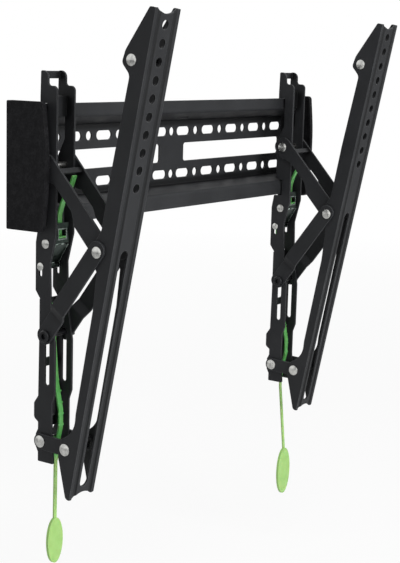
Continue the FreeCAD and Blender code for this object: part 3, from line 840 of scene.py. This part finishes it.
@dataclass(frozen=True)
class Lamp:
    """One soft square lamp aimed at the mount: its place and width in metres, and its power in watts."""

    name: str
    place: tuple[float, float, float]
    size: float
    watts: float

    def build(self) -> None:
        """Hang the lamp and aim it."""
        data = bpy.data.lights.new(self.name, "AREA")
        data.shape = "SQUARE"
        data.size = self.size
        data.energy = self.watts
        lamp = bpy.data.objects.new(self.name, data)
        lamp.location = self.place
        aim = (CAD_BOX[0] + CAD_BOX[1]) / 2 - Vector(self.place)
        lamp.rotation_mode = "QUATERNION"
        lamp.rotation_quaternion = aim.to_track_quat("-Z", "Y")
        bpy.context.scene.collection.objects.link(lamp)


@dataclass
class Studio:
    """Camera, lamps, white surround and floor."""

    focal_px: float = 1313.3
    camera_mm: tuple[float, float, float] = (-1107.8, -806.8, 101.0)
    look: tuple[float, float, float] = (0.811064, 0.559685, -0.170082)
    roll_deg: float = 1.56
    sensor_mm: float = 36.0
    clip: tuple[float, float] = (0.05, 60.0)
    ambient: float = 0.22
    floor_half: float = 12.0
    floor_drop_mm: float = 60.0
    floor_colour: str = "#f8f8f8"
    floor_glow: tuple[float, float] = (0.88, 1.0)
    glow_reach: tuple[float, float] = (1.0, 3.0)
    lamps: tuple[Lamp, ...] = (
        Lamp("front_key", (-0.3, -2.2, 0.6), 1.2, 40.0),
        Lamp("top_soft", (-0.45, -0.75, 2.1), 1.1, 14.0),
        Lamp("left_fill", (-2.2, -1.2, 0.2), 1.2, 2.0),
        Lamp("back_fill", (0.9, 1.9, 1.1), 1.2, 16.0),
    )

    def camera(self) -> None:
        """Put the camera where the photograph was taken from."""
        data = bpy.data.cameras.new("photo_camera")
        data.sensor_width = self.sensor_mm
        data.lens = self.focal_px * self.sensor_mm / max(IMAGE_WIDE, IMAGE_TALL)
        data.clip_start, data.clip_end = self.clip
        camera = bpy.data.objects.new("photo_camera", data)
        camera.location = Vector(self.camera_mm) * MM
        camera.rotation_mode = "QUATERNION"
        level = Vector(self.look).to_track_quat("-Z", "Y")
        camera.rotation_quaternion = level @ Quaternion((0, 0, 1), math.radians(self.roll_deg))
        bpy.context.scene.collection.objects.link(camera)
        bpy.context.scene.camera = camera

    def surround(self) -> None:
        """White to the eye and to reflections, a plain grey light otherwise."""
        world = bpy.data.worlds.new("white_surround")
        bpy.context.scene.world = world
        world.use_nodes = True
        tree = world.node_tree
        background = tree.nodes["Background"]
        background.inputs["Color"].default_value = grey(1.0)
        path = add_node(tree, "ShaderNodeLightPath")
        shiny = add_node(tree, "ShaderNodeMath", settings={"operation": "MAXIMUM"},
                         links={0: path.outputs["Is Glossy Ray"], 1: path.outputs["Is Transmission Ray"]})
        seen = add_node(tree, "ShaderNodeMath", settings={"operation": "MAXIMUM"},
                        links={0: path.outputs["Is Camera Ray"], 1: shiny.outputs["Value"]})
        level = add_node(tree, "ShaderNodeMapRange", values={"To Min": self.ambient, "To Max": 1.0},
                         links={"Value": seen.outputs["Value"]})
        tree.links.new(level.outputs["Result"], background.inputs["Strength"])

    def floor_material(self) -> bpy.types.Material:
        """A pale paint that the eye sees glow to pure white in the distance."""
        material = bpy.data.materials.new("pale_floor")
        material.use_nodes = True
        tree = material.node_tree
        tree.nodes.remove(tree.nodes["Principled BSDF"])
        paint = add_node(tree, "ShaderNodeBsdfDiffuse", values={"Color": linear(self.floor_colour)})
        glow = add_node(tree, "ShaderNodeEmission", values={"Color": grey(1.0), "Strength": 1.0})
        place = add_node(tree, "ShaderNodeTexCoord").outputs["Object"]
        far = add_node(tree, "ShaderNodeVectorMath", settings={"operation": "LENGTH"}, links={0: place})
        share = add_node(tree, "ShaderNodeMapRange",
                         values={"From Min": self.glow_reach[0], "From Max": self.glow_reach[1],
                                 "To Min": self.floor_glow[0], "To Max": self.floor_glow[1]},
                         links={"Value": far.outputs["Value"]})
        path = add_node(tree, "ShaderNodeLightPath")
        seen = add_node(tree, "ShaderNodeMath", settings={"operation": "MULTIPLY"},
                        links={0: path.outputs["Is Camera Ray"], 1: share.outputs["Result"]})
        mix = add_node(tree, "ShaderNodeMixShader", links={0: seen.outputs["Value"], 1: paint.outputs["BSDF"],
                                                           2: glow.outputs["Emission"]})
        tree.links.new(mix.outputs["Shader"], tree.nodes["Material Output"].inputs["Surface"])
        return material

    def floor(self) -> None:
        """A wide pale floor under the lowest strap."""
        drop = CAD_BOX[0].z - self.floor_drop_mm * MM
        plane = bmesh.new()
        bmesh.ops.create_grid(plane, x_segments=1, y_segments=1, size=self.floor_half)
        bmesh.ops.translate(plane, vec=(0, 0, drop), verts=plane.verts)
        data = bpy.data.meshes.new("floor")
        plane.to_mesh(data)
        plane.free()
        data.materials.append(self.floor_material())
        floor = bpy.data.objects.new("floor", data)
        bpy.context.scene.collection.objects.link(floor)

    def build(self) -> None:
        """Set up the whole studio."""
        bpy.context.scene.view_settings.view_transform = "Standard"
        self.camera()
        self.surround()
        self.floor()
        for lamp in self.lamps:
            lamp.build()


def main() -> None:
    """Dress the base and both stations, then light and frame them."""
    logging.basicConfig(level=logging.INFO, format="%(message)s")
    finishes = Finishes()
    WallBase(finishes).dress_nodes()
    for side in Side:
        BracketStation(side, finishes).build()
    Studio().build()


if __name__ == "__main__":
    main()
